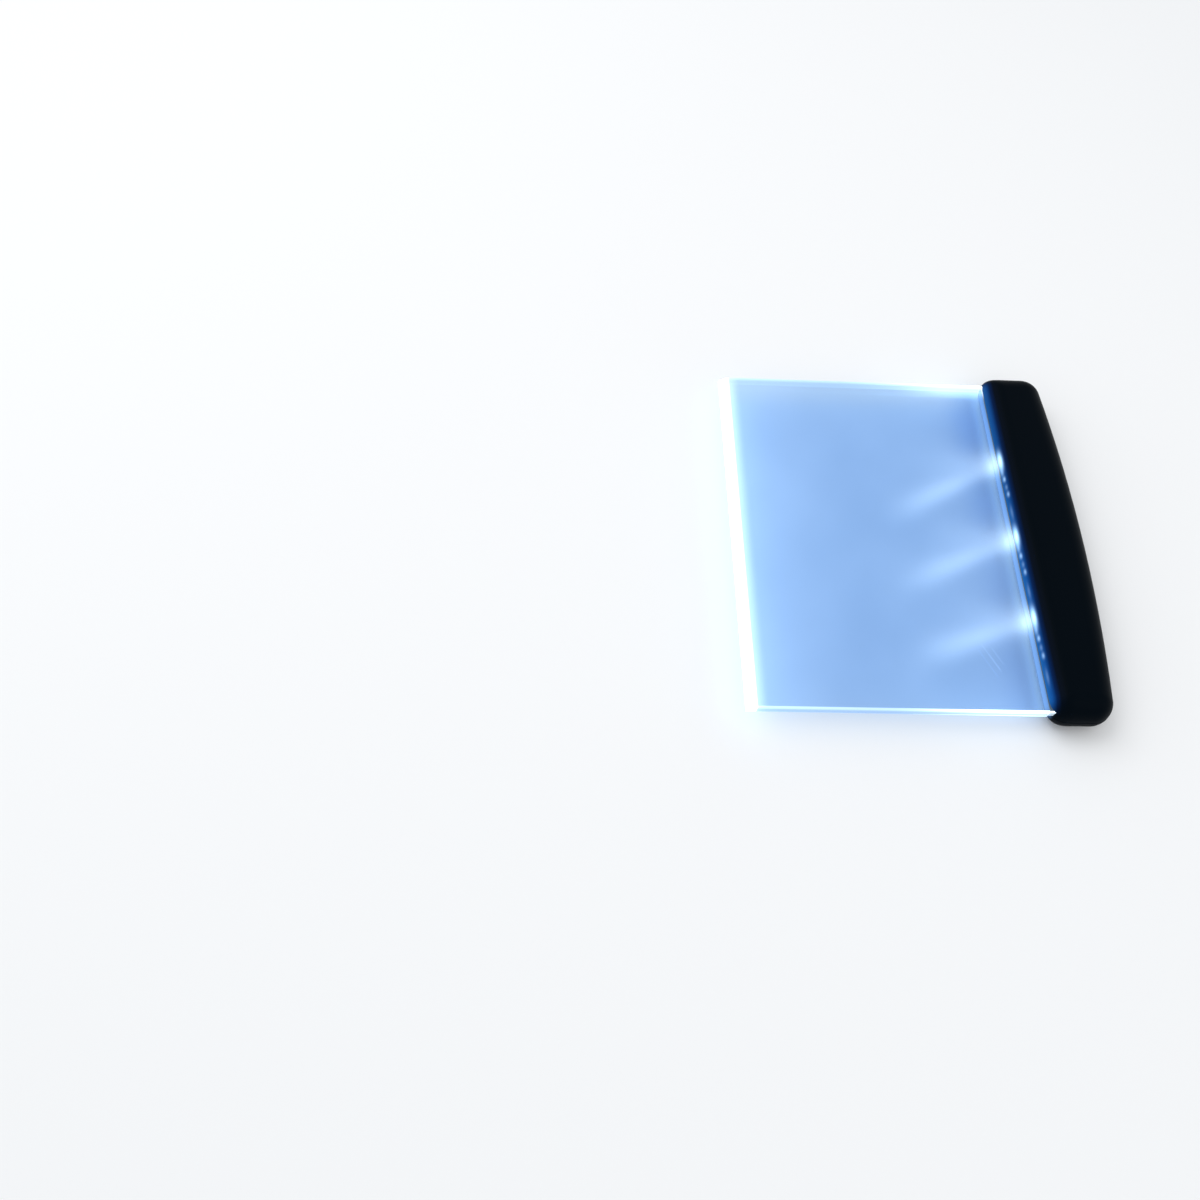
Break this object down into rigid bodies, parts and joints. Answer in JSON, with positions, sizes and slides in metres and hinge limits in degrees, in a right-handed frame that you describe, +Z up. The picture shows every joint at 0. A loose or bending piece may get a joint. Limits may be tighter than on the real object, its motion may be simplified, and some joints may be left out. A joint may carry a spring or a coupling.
{
  "type": "book light",
  "caption": "Flat clear edge-lit panel that lies on a page and lights it, held along one long side by a black battery handle.",
  "frame": {"origin": "middle of the visible panel's underside, which lies on the page", "axes": "+X from the panel towards the handle, +Y along the handle away from the reader, +Z up from the page"},
  "size_m": [0.1562, 0.1818, 0.0187],
  "materials": {
    "clear_acrylic": "polished",
    "black_casing": "satin",
    "black_slider": "matte",
    "board_resist": "satin",
    "white_reflector": "matte",
    "led_package": "matte",
    "resistor_body": "matte",
    "cell_steel": "satin",
    "cell_jacket": "gloss",
    "contact_metal": "satin",
    "switch_steel": "satin",
    "switch_resin": "matte",
    "screw_steel": "satin",
    "wire_red": "satin",
    "wire_black": "satin"
  },
  "bodies": {
    "housing": {"light_panel": "clear_acrylic", "housing_top": "black_casing", "housing_bottom": "black_casing", "led_board": "board_resist", "led_1": "led_package", "led_2": "led_package", "led_3": "led_package", "chip_resistors": "resistor_body", "led_reflector": "white_reflector", "cell_1": "cell_steel", "cell_2": "cell_steel", "cell_3": "cell_steel", "cell_jacket_1": "cell_jacket", "cell_jacket_2": "cell_jacket", "cell_jacket_3": "cell_jacket", "negative_contact": "contact_metal", "positive_contact": "contact_metal", "contact_spring": "contact_metal", "switch_frame": "switch_steel", "switch_base": "switch_resin", "switch_terminals": "contact_metal", "housing_screws": "screw_steel", "switch_screws": "screw_steel", "negative_wire": "wire_black", "positive_wire": "wire_red", "switched_wire": "wire_red"},
    "door": {"battery_door": "black_casing"},
    "switch_slider": {"switch_lever": "black_slider", "switch_knob": "black_slider"}
  },
  "joints": [
    {"name": "battery_door_hinge", "type": "hinge", "parent": "housing", "child": "door", "pos_m": [0.07925, -0.0741, -0.0071], "axis": [-1, 0, 0], "range_deg": [0, 90]},
    {"name": "switch_slide", "type": "slide", "parent": "housing", "child": "switch_slider", "axis": [0, -1, 0], "range_m": [0, 0.003]}
  ]
}
